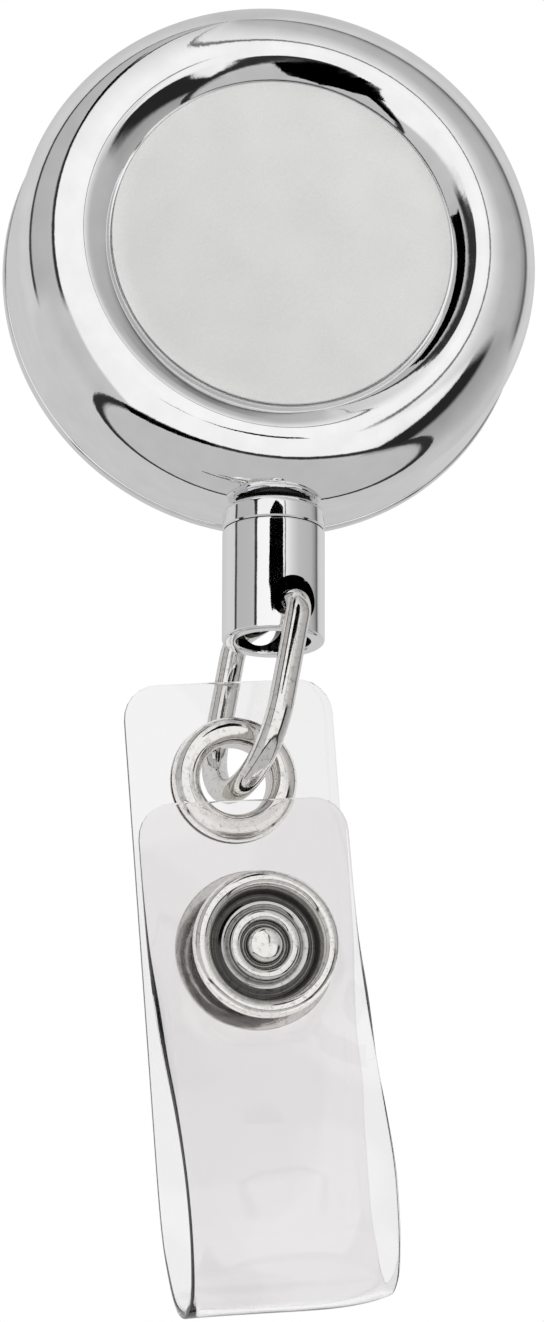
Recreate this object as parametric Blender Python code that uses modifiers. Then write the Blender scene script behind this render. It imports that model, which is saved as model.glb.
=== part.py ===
"""Retractable badge reel with a vinyl strap, modelled piece by piece.

The frame is in metres. The case axis lies along Y with the face towards -Y, +Z is up, and the
origin is the centre of the case's rear face, where the belt clip holds the reel. The driving
dimensions below are in millimetres, and mm() turns them into metres.
"""

import math

import bmesh
import bpy
from mathutils import Matrix, Vector

OBJECT_NAME = "badge_reel"

# Case, measured forwards from its rear face
CASE_R = 16.15
RIM_HEIGHT = 0.95
SHELL_R = 16.05
SHELL_T = 0.5
CREST_H = 9.45
CREST_R = 12.45
ROUND_R = 3.6
FLOOR_H = 8.0
DISC_R = 10.5
DISC_T = 0.47
SEAT_CLEARANCE = 0.12
PLATE_T = 0.6
GAP = 0.06

# Spool, mainspring and cord
POST_R = 1.5
BORE_R = 1.56
SPOOL_REAR = 1.6
SPOOL_FRONT = 7.25
FLANGE_T = 0.5
FLANGE_R = 12.8
DRUM_OUT_R = 9.6
DRUM_IN_R = 8.9
WINDING_R = 11.2
SPRING_T = 0.15
SPRING_TURNS = 6.5
CORD_D = 0.7
CORD_Y = -5.2
OUTLET_R = 2.45

# Belt clip
CLIP_W = 10.0
CLIP_T = 0.5
CLIP_LEAF_Y = 0.05
CLIP_BOTTOM = -11.0
CLIP_TOP = 12.0
CLIP_GAP = 4.25
RIVET_R = 0.75
RIVET_HEAD_R = 2.2

# Ferrule that hangs on the cord
FERRULE_R = 3.1
FERRULE_BORE_R = 2.25
FERRULE_TOP = -16.1
FERRULE_SEAM = -17.55
FERRULE_BOTTOM = -24.6
CROSS_HOLE_R = 1.45
CROSS_HOLE_Z = -22.65
CROSS_HOLE_TURN = 16.5

# Link ring: a straight bar in the cross hole, rounded corners, straight sides and a round end
RING_WIRE_D = 1.55
RING_BAR = (-0.3, CORD_Y, -22.95)
RING_HALF_W = 4.6
RING_CORNER_R = 1.4
RING_LENGTH = 11.3
RING_SWING = 10.7
RING_SLIT = 0.15

# Strap, measured in its own frame from the grommet's hole
STRAP_ORIGIN = (-2.4, -5.2, -33.4)
STRAP_TILT = 7.0
STRAP_SWING = 5.8
STRAP_TWIST = 2.0
STRAP_W = 12.7
STRAP_T = 0.45
STRAP_TOP = 6.0
STRAP_CORNER_R = 2.1
STRAP_BEND_Z = -24.0
LOOP_BOTTOM_Y = -5.4
LOOP_BOTTOM_Z = -32.15
FOLD_SHARE = 0.385
FOLD_SHARE_GAP = 0.007
BELLY_Y = -9.0
BELLY_Z = -27.3
FRONT_LEAF_Y = -2.0
FRONT_LEAF_BOTTOM = -14.7
FRONT_LEAF_TOP = -1.5

# Grommet and snap
GROMMET_R = 3.8
GROMMET_HOLE_R = 2.15
GROMMET_BARREL_R = 2.5
SNAP_X = 0.6
SNAP_Z = -10.35
SNAP_R = 4.42
SNAP_HEIGHT = 1.7

STEPS_CASE = 48
STEPS_INNER = 32
STEPS_SMALL = 28


def mm(value):
    """Millimetres to metres, for a number or a point."""
    if isinstance(value, (int, float)):
        return value / 1000.0
    return tuple(component / 1000.0 for component in value)


# ---------------------------------------------------------------- scene and helpers

def clear_scene():
    for thing in list(bpy.data.objects):
        bpy.data.objects.remove(thing, do_unlink=True)


def new_collection(name):
    collection = bpy.data.collections.new(name)
    bpy.context.scene.collection.children.link(collection)
    return collection


def add_object(name, data, collection, material=None, parent=None):
    thing = bpy.data.objects.new(name, data)
    collection.objects.link(thing)
    if material is not None:
        data.materials.append(material)
    thing.parent = parent
    return thing


def add_empty(name, collection, location, rotation=(0.0, 0.0, 0.0), order="XYZ"):
    empty = add_object(name, None, collection)
    empty.location = mm(location)
    empty.rotation_mode = order
    empty.rotation_euler = rotation
    return empty


def arc(centre, radius, start_deg, end_deg, count):
    """Points along an arc in a profile's (radius, height) plane."""
    points = []
    for index in range(count + 1):
        angle = math.radians(start_deg + (end_deg - start_deg) * index / count)
        points.append((centre[0] + radius * math.cos(angle), centre[1] + radius * math.sin(angle)))
    return points


def bezier(start, handle_a, handle_b, end, count, first=0.0, last=1.0):
    """Points along a cubic curve, or along the stretch of it between two shares of its length."""
    points = []
    for index in range(count + 1):
        t = first + (last - first) * index / count
        weights = ((1 - t) ** 3, 3 * t * (1 - t) ** 2, 3 * t * t * (1 - t), t ** 3)
        knots = (start, handle_a, handle_b, end)
        points.append(tuple(sum(w * k[axis] for w, k in zip(weights, knots)) for axis in (0, 1)))
    return points


def turned(name, profile, collection, material, steps, parent=None):
    """A turned piece about its local Z. The profile runs down its outer side, in millimetres."""
    on_axis = profile[0][0] == 0.0 and profile[-1][0] == 0.0
    verts = [(mm(radius), 0.0, mm(height)) for radius, height in profile]
    edges = [(index, index + 1) for index in range(len(verts) - 1)]
    if not on_axis:
        edges.append((len(verts) - 1, 0))
    mesh = bpy.data.meshes.new(name)
    mesh.from_pydata(verts, edges, [])
    piece = add_object(name, mesh, collection, material, parent)
    screw = piece.modifiers.new("turn", "SCREW")
    screw.axis = "Z"
    screw.angle = math.tau
    screw.steps = steps
    screw.render_steps = steps
    screw.use_merge_vertices = True
    screw.merge_threshold = 0.000001
    screw.use_smooth_shade = True
    return piece


def face_front(piece, location=(0.0, 0.0, 0.0)):
    """Lay a turned piece along the case axis, so that its local +Z points forwards."""
    piece.rotation_euler = (math.radians(90.0), 0.0, 0.0)
    piece.location = mm(location)


def wire(name, points, diameter, collection, material):
    """A round wire or cord through the points, with closed ends."""
    curve = bpy.data.curves.new(name, "CURVE")
    curve.dimensions = "3D"
    curve.bevel_depth = mm(diameter / 2.0)
    curve.bevel_resolution = 2
    curve.use_fill_caps = True
    spline = curve.splines.new("POLY")
    spline.points.add(len(points) - 1)
    for knot, point in zip(spline.points, points):
        knot.co = (*mm(point), 1.0)
    return add_object(name, curve, collection, material)


def cutter_cylinder(name, radius, length, location, direction, collection, parent=None, sides=32):
    mesh = bpy.data.meshes.new(name)
    shape = bmesh.new()
    bmesh.ops.create_cone(shape, cap_ends=True, segments=sides, radius1=mm(radius),
                          radius2=mm(radius), depth=mm(length))
    shape.to_mesh(mesh)
    shape.free()
    cutter = add_object(name, mesh, collection, None, parent)
    cutter.location = mm(location)
    cutter.rotation_mode = "QUATERNION"
    cutter.rotation_quaternion = Vector(direction).to_track_quat("Z", "Y")
    cutter.hide_render = True
    cutter.display_type = "WIRE"
    return cutter


def cut(piece, cutter):
    modifier = piece.modifiers.new(cutter.name, "BOOLEAN")
    modifier.operation = "DIFFERENCE"
    modifier.solver = "EXACT"
    modifier.object = cutter


def strip(name, width, path, thickness, collection, material, parent=None, corner_r=0.0):
    """A bent strip: a sheet across X that follows (y, z) points, rounded at its last end's corners."""
    mesh = bpy.data.meshes.new(name)
    sheet = bmesh.new()
    rows = []
    for y, z in path:
        rows.append([sheet.verts.new(mm((side * width / 2.0, y, z))) for side in (-1, 1)])
    for lower, upper in zip(rows, rows[1:]):
        sheet.faces.new((lower[0], lower[1], upper[1], upper[0]))
    if corner_r:
        bmesh.ops.bevel(sheet, geom=rows[-1], offset=mm(corner_r), segments=5, affect="VERTICES",
                        profile=0.5)
    sheet.to_mesh(mesh)
    sheet.free()
    piece = add_object(name, mesh, collection, material, parent)
    wall = piece.modifiers.new("thickness", "SOLIDIFY")
    wall.thickness = mm(thickness)
    wall.offset = 0.0
    wall.use_even_offset = True
    return piece


# ---------------------------------------------------------------- materials

def finish(name, colour, roughness, metallic, alpha=1.0):
    material = bpy.data.materials.new(name)
    material.use_nodes = True
    shader = material.node_tree.nodes["Principled BSDF"]
    shader.inputs["Base Color"].default_value = (*colour, 1.0)
    shader.inputs["Roughness"].default_value = roughness
    shader.inputs["Metallic"].default_value = metallic
    shader.inputs["Alpha"].default_value = alpha
    return material


def chrome():
    return finish("chrome", (0.82, 0.82, 0.84), 0.05, 1.0)


def satin_nickel():
    return finish("satin_nickel", (0.72, 0.71, 0.71), 0.38, 1.0)


def spring_steel():
    return finish("spring_steel", (0.55, 0.56, 0.58), 0.25, 1.0)


def black_plastic():
    return finish("black_plastic", (0.02, 0.02, 0.02), 0.4, 0.0)


def white_plastic():
    return finish("white_plastic", (0.8, 0.8, 0.78), 0.45, 0.0)


def nylon_cord():
    return finish("nylon_cord", (0.05, 0.05, 0.05), 0.7, 0.0)


def clear_vinyl():
    return finish("clear_vinyl", (0.86, 0.86, 0.86), 0.15, 0.0, 0.4)


# ---------------------------------------------------------------- case

def front_cover(parts, cutters, material):
    """Drawn and plated sheet: rounded bezel, side wall, and the recessed floor behind the disc."""
    seat_r = DISC_R + SEAT_CLEARANCE
    inner_r = SHELL_R - SHELL_T
    round_centre = (CREST_R, CREST_H - ROUND_R)
    profile = [(0.0, FLOOR_H), (seat_r, FLOOR_H), (seat_r, FLOOR_H + DISC_T)]
    profile += bezier((seat_r + 0.2, 8.58), (11.0, 8.95), (11.6, CREST_H), (CREST_R, CREST_H), 4)
    profile += arc(round_centre, ROUND_R, 90.0, 0.0, 7)[1:]
    profile += [(SHELL_R, RIM_HEIGHT + GAP), (inner_r, RIM_HEIGHT + GAP)]
    profile += arc(round_centre, ROUND_R - SHELL_T, 0.0, 90.0, 5)
    profile += [(11.7, 8.7), (11.25, 8.2), (11.1, FLOOR_H - SHELL_T), (0.0, FLOOR_H - SHELL_T)]
    cover = turned("front_cover", profile, parts, material, STEPS_CASE)
    face_front(cover)
    cut(cover, cutter_cylinder("outlet_cut", OUTLET_R, 4.0, (0.0, CORD_Y, -SHELL_R), (0, 0, 1), cutters))


def face_disc(parts, material):
    """Thin satin disc that is set into the bezel's recess."""
    front = FLOOR_H + DISC_T
    profile = [(0.0, front), (DISC_R - 0.1, front), (DISC_R, front - 0.1),
               (DISC_R, FLOOR_H + GAP), (0.0, FLOOR_H + GAP)]
    face_front(turned("face_disc", profile, parts, material, STEPS_CASE))


def rear_cover(parts, cutters, material):
    """Flat rear plate with the raised rim band, and a lip that goes inside the front cover."""
    lip_out = SHELL_R - SHELL_T - GAP
    lip_in = lip_out - 0.4
    hole = RIVET_R + 0.1
    profile = [(lip_in, 1.8), (lip_out, 1.8), (lip_out, RIM_HEIGHT), (CASE_R - 0.15, RIM_HEIGHT),
               (CASE_R, RIM_HEIGHT - 0.15), (CASE_R, 0.3), (CASE_R - 0.3, 0.0),
               (hole, 0.0), (hole, PLATE_T), (lip_in - 0.4, PLATE_T), (lip_in, PLATE_T + 0.4)]
    cover = turned("rear_cover", profile, parts, material, STEPS_CASE)
    face_front(cover)
    cut(cover, cutter_cylinder("lip_notch", OUTLET_R, 3.0, (0.0, CORD_Y, -SHELL_R), (0, 0, 1), cutters))


def centre_post(parts, material):
    """Turned post that the spool spins on, bored from the rear for the rivet."""
    base = PLATE_T + GAP
    bore = RIVET_R + 0.1
    profile = [(0.0, FLOOR_H - SHELL_T - GAP), (POST_R - 0.2, FLOOR_H - SHELL_T - GAP),
               (POST_R, FLOOR_H - SHELL_T - 0.2 - GAP), (POST_R, base + 0.4), (3.4, base + 0.4),
               (3.4, base), (bore, base), (bore, 4.6), (0.0, 4.6)]
    face_front(turned("centre_post", profile, parts, material, STEPS_INNER))


def clip_rivet(parts, material):
    """Rivet through the clip and the rear cover into the post."""
    under_head = -(CLIP_LEAF_Y + CLIP_T + GAP)
    profile = [(0.0, 4.4), (RIVET_R, 4.4), (RIVET_R, under_head), (RIVET_HEAD_R, under_head),
               (RIVET_HEAD_R, under_head - 0.15), (1.6, under_head - 0.45),
               (0.8, under_head - 0.58), (0.0, under_head - 0.6)]
    face_front(turned("clip_rivet", profile, parts, material, STEPS_SMALL))


def outlet_bushing(parts, material):
    """Plastic bush in the case wall, with a flared mouth that the cord runs over."""
    neck = OUTLET_R - GAP
    profile = [(1.5, 0.6), (2.9, 0.6), (2.9, 0.0), (neck, 0.0), (neck, -1.15), (0.75, -1.15),
               (0.75, -0.35), (0.95, 0.2)]
    bush = turned("outlet_bushing", profile, parts, material, STEPS_SMALL)
    bush.location = mm((0.0, CORD_Y, -14.6))


# ---------------------------------------------------------------- belt clip

def clip_leaf(parts, cutters, material):
    """Flat leaf of the belt clip, riveted to the rear cover."""
    y = CLIP_LEAF_Y + CLIP_T / 2.0
    leaf = strip("clip_leaf", CLIP_W, [(y, CLIP_TOP), (y, CLIP_BOTTOM)], CLIP_T, parts, material,
                 corner_r=1.8)
    cut(leaf, cutter_cylinder("rivet_cut", RIVET_R + 0.1, 4.0, (0, y, 0), (0, 1, 0), cutters))


def clip_tongue(parts, material):
    """Sprung tongue: it bends over from the leaf, runs down behind the case and flares at its tip."""
    near = CLIP_LEAF_Y + CLIP_T / 2.0
    far = near + CLIP_T + CLIP_GAP
    bend_r = (far - near) / 2.0
    path = [(near, CLIP_TOP + 0.1)]
    path += arc((near + bend_r, CLIP_TOP + 0.3), bend_r, 180.0, 0.0, 10)
    path += bezier((far, 1.0), (far, -4.0), (near + 0.9, -5.5), (near + 0.85, -8.4), 7)
    path += [(near + 1.1, -9.6), (near + 2.0, -11.2)]
    strip("clip_tongue", CLIP_W, path, CLIP_T, parts, material, corner_r=3.0)


# ---------------------------------------------------------------- spool, spring and cord

def spool(parts, material):
    """Moulded spool: hollow drum with two flanges, closed at the front by its web."""
    web = SPOOL_FRONT - FLANGE_T
    profile = [(BORE_R, SPOOL_FRONT), (FLANGE_R, SPOOL_FRONT), (FLANGE_R, web), (DRUM_OUT_R, web),
               (DRUM_OUT_R, SPOOL_REAR + FLANGE_T), (FLANGE_R, SPOOL_REAR + FLANGE_T),
               (FLANGE_R, SPOOL_REAR), (DRUM_IN_R, SPOOL_REAR), (DRUM_IN_R, web), (BORE_R, web)]
    face_front(turned("spool", profile, parts, material, STEPS_INNER))


def spring_cover(parts, material):
    """Disc that keeps the mainspring in the drum."""
    outer = DRUM_IN_R - 0.1
    front = SPOOL_REAR + 0.4
    profile = [(BORE_R, front), (outer, front), (outer, SPOOL_REAR), (BORE_R, SPOOL_REAR)]
    face_front(turned("spring_cover", profile, parts, material, STEPS_INNER))


def mainspring(parts, material):
    """Flat spiral spring between the post and the drum, its turns resting towards the drum."""
    inner = POST_R + 0.2
    reach = DRUM_IN_R - 0.2 - inner
    turns = int(SPRING_TURNS * 20)
    height = (SPOOL_REAR + 0.5, SPOOL_FRONT - FLANGE_T - 0.1)
    mesh = bpy.data.meshes.new("mainspring")
    ribbon = bmesh.new()
    edges = []
    for index in range(turns + 1):
        share = index / turns
        radius = mm(inner + reach * share ** 0.6)
        angle = math.tau * SPRING_TURNS * share
        x = radius * math.cos(angle)
        z = radius * math.sin(angle)
        edges.append([ribbon.verts.new((x, -mm(level), z)) for level in height])
    for near, far in zip(edges, edges[1:]):
        ribbon.faces.new((near[0], near[1], far[1], far[0]))
    ribbon.to_mesh(mesh)
    ribbon.free()
    piece = add_object("mainspring", mesh, parts, material)
    wall = piece.modifiers.new("thickness", "SOLIDIFY")
    wall.thickness = mm(SPRING_T)
    wall.offset = 0.0


def cord_winding(parts, material):
    """The cord's turns on the drum, as one ring."""
    rear = SPOOL_REAR + FLANGE_T + GAP
    front = SPOOL_FRONT - FLANGE_T - GAP
    inner = DRUM_OUT_R + GAP
    profile = [(inner, front), (WINDING_R - 0.3, front), (WINDING_R, front - 0.3),
               (WINDING_R, rear + 0.3), (WINDING_R - 0.3, rear), (inner, rear)]
    face_front(turned("cord_winding", profile, parts, material, STEPS_INNER))


def cord_lead(parts, material):
    """The cord from the winding through the bush and the ferrule's cap."""
    bend_start = -12.7
    route = [(5.95, -10.15), (4.2, -11.2)]
    route += bezier((2.5, -12.2), (1.2, bend_start - 0.25), (0.0, bend_start - 0.9), (0.0, -14.6), 6)
    route += [(0.0, -15.8), (0.0, -17.2), (0.0, -18.5)]
    wire("cord_lead", [(x, CORD_Y, z) for x, z in route], CORD_D, parts, material)


def cord_knot(parts, material):
    """Crimped stop on the cord's end, inside the ferrule."""
    profile = [(0.0, -18.56), (0.9, -18.56), (1.35, -18.95), (1.35, -19.75), (0.9, -20.15), (0.0, -20.15)]
    knot = turned("cord_knot", profile, parts, material, 20)
    knot.location = mm((0.0, CORD_Y, 0.0))


# ---------------------------------------------------------------- ferrule and link ring

def hole_direction():
    turn = math.radians(CROSS_HOLE_TURN)
    return Vector((math.sin(turn), -math.cos(turn), 0.0))


def ring_down():
    """The direction from the cross hole to the ring's far side, in the ring's plane."""
    turn = math.radians(CROSS_HOLE_TURN)
    swing = math.radians(RING_SWING)
    side = Vector((math.cos(turn), math.sin(turn), 0.0))
    return Vector((0.0, 0.0, -math.cos(swing))) - side * math.sin(swing)


def ferrule_cap(parts, material):
    """Cap with a spigot in the tube, and a hole that the cord turns freely in."""
    cord_hole = 0.55
    spigot_r = FERRULE_BORE_R - GAP
    seam = FERRULE_SEAM + GAP / 2.0
    profile = [(cord_hole, FERRULE_TOP), (2.55, FERRULE_TOP), (2.95, FERRULE_TOP - 0.2),
               (FERRULE_R, FERRULE_TOP - 0.5), (FERRULE_R, seam + 0.08), (FERRULE_R - 0.08, seam),
               (spigot_r, seam), (spigot_r, -18.45), (cord_hole, -18.45)]
    cap = turned("ferrule_cap", profile, parts, material, STEPS_INNER)
    cap.location = mm((0.0, CORD_Y, 0.0))


def ferrule_tube(parts, cutters, material):
    """Tube below the cap, open at the bottom, with the cross hole for the link ring."""
    seam = FERRULE_SEAM - GAP / 2.0
    profile = [(FERRULE_BORE_R, seam), (FERRULE_R - 0.08, seam), (FERRULE_R, seam - 0.08),
               (FERRULE_R, FERRULE_BOTTOM + 0.3), (FERRULE_R - 0.09, FERRULE_BOTTOM + 0.09),
               (FERRULE_R - 0.3, FERRULE_BOTTOM), (FERRULE_BORE_R + 0.1, FERRULE_BOTTOM),
               (FERRULE_BORE_R, FERRULE_BOTTOM + 0.1)]
    tube = turned("ferrule_tube", profile, parts, material, STEPS_INNER)
    tube.location = mm((0.0, CORD_Y, 0.0))
    cut(tube, cutter_cylinder("cross_cut", CROSS_HOLE_R, 9.0, (0.0, CORD_Y, CROSS_HOLE_Z),
                              hole_direction(), cutters))


def ring_centre():
    """Centre of the ring's round end, which the grommet slides round."""
    return Vector(RING_BAR) + ring_down() * (RING_LENGTH - RING_HALF_W)


def link_ring(parts, material):
    """Round wire link, slit in its rear side where it is opened to thread it."""
    along = hole_direction()
    down = ring_down()
    corner_x = RING_HALF_W - RING_CORNER_R
    end_z = RING_LENGTH - RING_HALF_W
    slit_z = RING_CORNER_R + 2.0
    outline = [(-RING_HALF_W, slit_z), (-RING_HALF_W, (slit_z + RING_CORNER_R) / 2.0)]
    outline += arc((-corner_x, RING_CORNER_R), RING_CORNER_R, 180.0, 270.0, 6)
    outline += [(-1.6, 0.0), (0.0, 0.0), (1.6, 0.0)]
    outline += arc((corner_x, RING_CORNER_R), RING_CORNER_R, 270.0, 360.0, 6)
    outline += [(RING_HALF_W, (RING_CORNER_R + end_z) / 2.0)]
    outline += arc((0.0, end_z), RING_HALF_W, 0.0, 180.0, 20)
    outline += [(-RING_HALF_W, (slit_z + RING_SLIT + end_z) / 2.0), (-RING_HALF_W, slit_z + RING_SLIT)]
    points = [tuple(Vector(RING_BAR) + along * x + down * z) for x, z in outline]
    wire("link_ring", points, RING_WIRE_D, parts, material)


# ---------------------------------------------------------------- strap

def strap_frame(parts):
    rotation = (math.radians(STRAP_TILT), -math.radians(STRAP_SWING), math.radians(STRAP_TWIST))
    return add_empty("strap_frame", parts, STRAP_ORIGIN, rotation, "YXZ")


def loop_rear(count, first, last):
    """Where the rear leaf curves into the bottom of the loop, in the strap's frame."""
    return bezier((0.0, STRAP_BEND_Z), (0.0, -28.6), (-2.6, LOOP_BOTTOM_Z),
                  (LOOP_BOTTOM_Y, LOOP_BOTTOM_Z), count, first, last)


def fold_point():
    """The point on the strap's outer face that its flap opens about."""
    before, at = loop_rear(1, FOLD_SHARE - 0.01, FOLD_SHARE)
    along = Vector((at[0] - before[0], at[1] - before[1])).normalized()
    return Vector((0.0, at[0] - along.y * STRAP_T / 2.0, at[1] + along.x * STRAP_T / 2.0))


def strap_back(parts, cutters, material, frame):
    """Rear leaf of the strap, from its fold up to the grommet's end."""
    path = loop_rear(5, 0.0, FOLD_SHARE - FOLD_SHARE_GAP)[::-1]
    path += [(0.0, -12.0), (0.0, STRAP_TOP)]
    leaf = strip("strap_back", STRAP_W, path, STRAP_T, parts, material, frame, STRAP_CORNER_R)
    barrel_hole = GROMMET_BARREL_R + 0.1
    cut(leaf, cutter_cylinder("grommet_cut", barrel_hole, 3.0, (0, 0, 0), (0, 1, 0), cutters, frame))
    cut(leaf, cutter_cylinder("stud_cut", 1.0, 3.0, (SNAP_X, 0, SNAP_Z), (0, 1, 0), cutters, frame))


def strap_front(parts, cutters, material, frame):
    """Flap of the strap: from the fold round the bottom and belly of the loop and up to the snap."""
    path = loop_rear(6, FOLD_SHARE + FOLD_SHARE_GAP, 1.0)
    bottom = (LOOP_BOTTOM_Y, LOOP_BOTTOM_Z)
    belly = (BELLY_Y, BELLY_Z)
    path += bezier(bottom, (-7.7, LOOP_BOTTOM_Z), (BELLY_Y, -30.2), belly, 7)[1:]
    path += bezier(belly, (-9.2, -21.5), (-5.2, -18.6), (FRONT_LEAF_Y, FRONT_LEAF_BOTTOM), 9)[1:]
    path += [(FRONT_LEAF_Y, FRONT_LEAF_TOP)]
    leaf = strip("strap_front", STRAP_W, path, STRAP_T, parts, material, frame, STRAP_CORNER_R)
    snap = (SNAP_X, FRONT_LEAF_Y, SNAP_Z)
    cut(leaf, cutter_cylinder("cap_cut", 1.3, 2.0, snap, (0, 1, 0), cutters, frame))


def grommet_eyelet(parts, material, frame):
    """Front half of the grommet: rounded flange, barrel, and the lip rolled over the washer."""
    face = STRAP_T / 2.0 + GAP
    hole = GROMMET_HOLE_R
    rolled = -(face + 0.62)
    profile = [(hole + 0.25, face + 0.7), (3.0, face + 0.75), (3.55, face + 0.55), (GROMMET_R, face + 0.15),
               (GROMMET_R - 0.1, face), (GROMMET_BARREL_R, face), (GROMMET_BARREL_R, rolled),
               (3.0, rolled - 0.05), (2.9, rolled - 0.25), (hole + 0.2, rolled - 0.3), (hole, rolled),
               (hole, face + 0.4)]
    face_front(turned("grommet_eyelet", profile, parts, material, STEPS_SMALL, frame))


def grommet_washer(parts, material, frame):
    """Rear half of the grommet."""
    face = -(STRAP_T / 2.0 + GAP)
    inner = GROMMET_BARREL_R + GAP
    profile = [(inner, face), (GROMMET_R, face), (GROMMET_R, face - 0.25), (3.4, face - 0.5),
               (inner, face - 0.55)]
    face_front(turned("grommet_washer", profile, parts, material, STEPS_SMALL, frame))


def snap_cap(parts, material, frame):
    """Visible front of the snap: tall rolled rim, trough, raised ring, centre button and shank."""
    top = SNAP_HEIGHT
    profile = [(0.0, 0.95), (1.1, 0.9), (1.55, 0.7), (1.65, 0.42), (2.05, 0.42), (2.3, 0.8), (2.6, 0.95),
               (2.85, 0.8), (3.0, 0.35), (3.3, 0.35), (3.6, top - 0.35), (3.85, top), (4.1, top - 0.03),
               (SNAP_R - 0.05, top - 0.35), (SNAP_R, top - 0.7), (SNAP_R, 0.2), (SNAP_R - 0.15, 0.0),
               (1.2, 0.0), (1.2, -0.5), (0.0, -0.5)]
    cap = turned("snap_cap", profile, parts, material, STEPS_INNER, frame)
    face_front(cap, (SNAP_X, FRONT_LEAF_Y - STRAP_T / 2.0 - GAP, SNAP_Z))


def snap_socket(parts, material, frame):
    """Socket ring behind the front leaf, which the stud presses into."""
    profile = [(1.9, 0.0), (3.3, 0.0), (3.3, -0.45), (3.0, -0.75), (1.75, -0.75), (1.65, -0.6), (1.9, -0.4)]
    socket = turned("snap_socket", profile, parts, material, STEPS_SMALL, frame)
    face_front(socket, (SNAP_X, FRONT_LEAF_Y + STRAP_T / 2.0 + GAP, SNAP_Z))


def snap_stud(parts, material, frame):
    """Stud on the rear leaf's front side."""
    profile = [(0.0, 1.2), (1.0, 1.2), (1.45, 0.95), (1.5, 0.75), (1.35, 0.35), (3.6, 0.3), (3.6, 0.0),
               (0.0, 0.0)]
    stud = turned("snap_stud", profile, parts, material, STEPS_SMALL, frame)
    face_front(stud, (SNAP_X, -STRAP_T / 2.0 - GAP, SNAP_Z))


def snap_post(parts, material, frame):
    """Rear cap of the snap, with the post through the rear leaf."""
    profile = [(0.0, 0.45), (0.9, 0.45), (0.9, 0.0), (4.9, 0.0), (4.9, -0.2), (4.5, -0.45), (2.0, -0.6),
               (0.0, -0.6)]
    post = turned("snap_post", profile, parts, material, STEPS_INNER, frame)
    face_front(post, (SNAP_X, STRAP_T / 2.0 + GAP, SNAP_Z))


# ---------------------------------------------------------------- assembly

def build():
    clear_scene()
    parts = new_collection(OBJECT_NAME)
    cutters = new_collection("cutters")
    plated = chrome()
    sprung = spring_steel()
    moulded = white_plastic()
    thread = nylon_cord()
    vinyl = clear_vinyl()

    front_cover(parts, cutters, plated)
    face_disc(parts, satin_nickel())
    rear_cover(parts, cutters, plated)
    centre_post(parts, sprung)
    clip_rivet(parts, sprung)
    outlet_bushing(parts, black_plastic())
    clip_leaf(parts, cutters, sprung)
    clip_tongue(parts, sprung)

    spool(parts, moulded)
    spring_cover(parts, moulded)
    mainspring(parts, sprung)
    cord_winding(parts, thread)
    cord_lead(parts, thread)
    cord_knot(parts, sprung)

    ferrule_cap(parts, plated)
    ferrule_tube(parts, cutters, plated)
    link_ring(parts, plated)

    frame = strap_frame(parts)
    strap_back(parts, cutters, vinyl, frame)
    strap_front(parts, cutters, vinyl, frame)
    grommet_eyelet(parts, plated, frame)
    grommet_washer(parts, plated, frame)
    snap_cap(parts, plated, frame)
    snap_socket(parts, plated, frame)
    snap_stud(parts, plated, frame)
    snap_post(parts, plated, frame)


build()
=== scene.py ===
"""A chromed badge reel with a clear vinyl strap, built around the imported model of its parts.

Drawing sizes below are in millimetres and helpers turn them into metres. The case's axis lies along
Y with its face towards -Y, and +Z is up.
"""

import math

import bpy
from bpy.props import FloatProperty, FloatVectorProperty, PointerProperty
from mathutils import Euler, Matrix, Vector


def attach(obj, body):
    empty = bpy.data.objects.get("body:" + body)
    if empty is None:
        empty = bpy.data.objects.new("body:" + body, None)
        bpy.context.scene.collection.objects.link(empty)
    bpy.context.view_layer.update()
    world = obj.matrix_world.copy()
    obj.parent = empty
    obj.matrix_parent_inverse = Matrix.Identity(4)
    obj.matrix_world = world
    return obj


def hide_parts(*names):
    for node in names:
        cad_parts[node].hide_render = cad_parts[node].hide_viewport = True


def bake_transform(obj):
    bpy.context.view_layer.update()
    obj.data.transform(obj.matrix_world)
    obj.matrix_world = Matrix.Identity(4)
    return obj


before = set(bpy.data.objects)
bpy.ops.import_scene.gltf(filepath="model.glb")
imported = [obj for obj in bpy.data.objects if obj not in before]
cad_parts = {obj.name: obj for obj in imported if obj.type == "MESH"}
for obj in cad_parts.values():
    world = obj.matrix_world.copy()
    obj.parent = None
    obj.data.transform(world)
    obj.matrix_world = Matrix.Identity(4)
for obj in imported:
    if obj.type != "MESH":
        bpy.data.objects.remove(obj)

bl_info = {
    "name": "Badge Reel",
    "version": (1, 0, 0),
    "blender": (4, 5, 0),
    "location": "View3D > Sidebar > Badge Reel",
    "description": "Builds a chromed badge reel with its ferrule, link ring and vinyl strap",
    "category": "Add Mesh",
}

MM = 0.001
# Points closer than this, in metres, become one.
WELD = 0.0000008
# Steps round a large turned piece and round a small one.
ROUND_STEPS = 160
SMALL_STEPS = 96


def linear(hex_colour):
    """An sRGB hex value as a linear colour."""
    channels = [int(hex_colour[index:index + 2], 16) / 255.0 for index in (1, 3, 5)]
    return tuple(c / 12.92 if c <= 0.04045 else ((c + 0.055) / 1.055) ** 2.4 for c in channels)


def length_prop(label, about, default_mm):
    """A length that a user can change, with its default in millimetres."""
    return FloatProperty(name=label, description=about, default=default_mm * MM, min=0.0, unit="LENGTH",
                         precision=5)


def colour_prop(label, about, hex_colour):
    """A colour that a user can change."""
    return FloatVectorProperty(name=label, description=about, default=linear(hex_colour), min=0.0,
                               max=1.0, size=3, subtype="COLOR")


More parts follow.
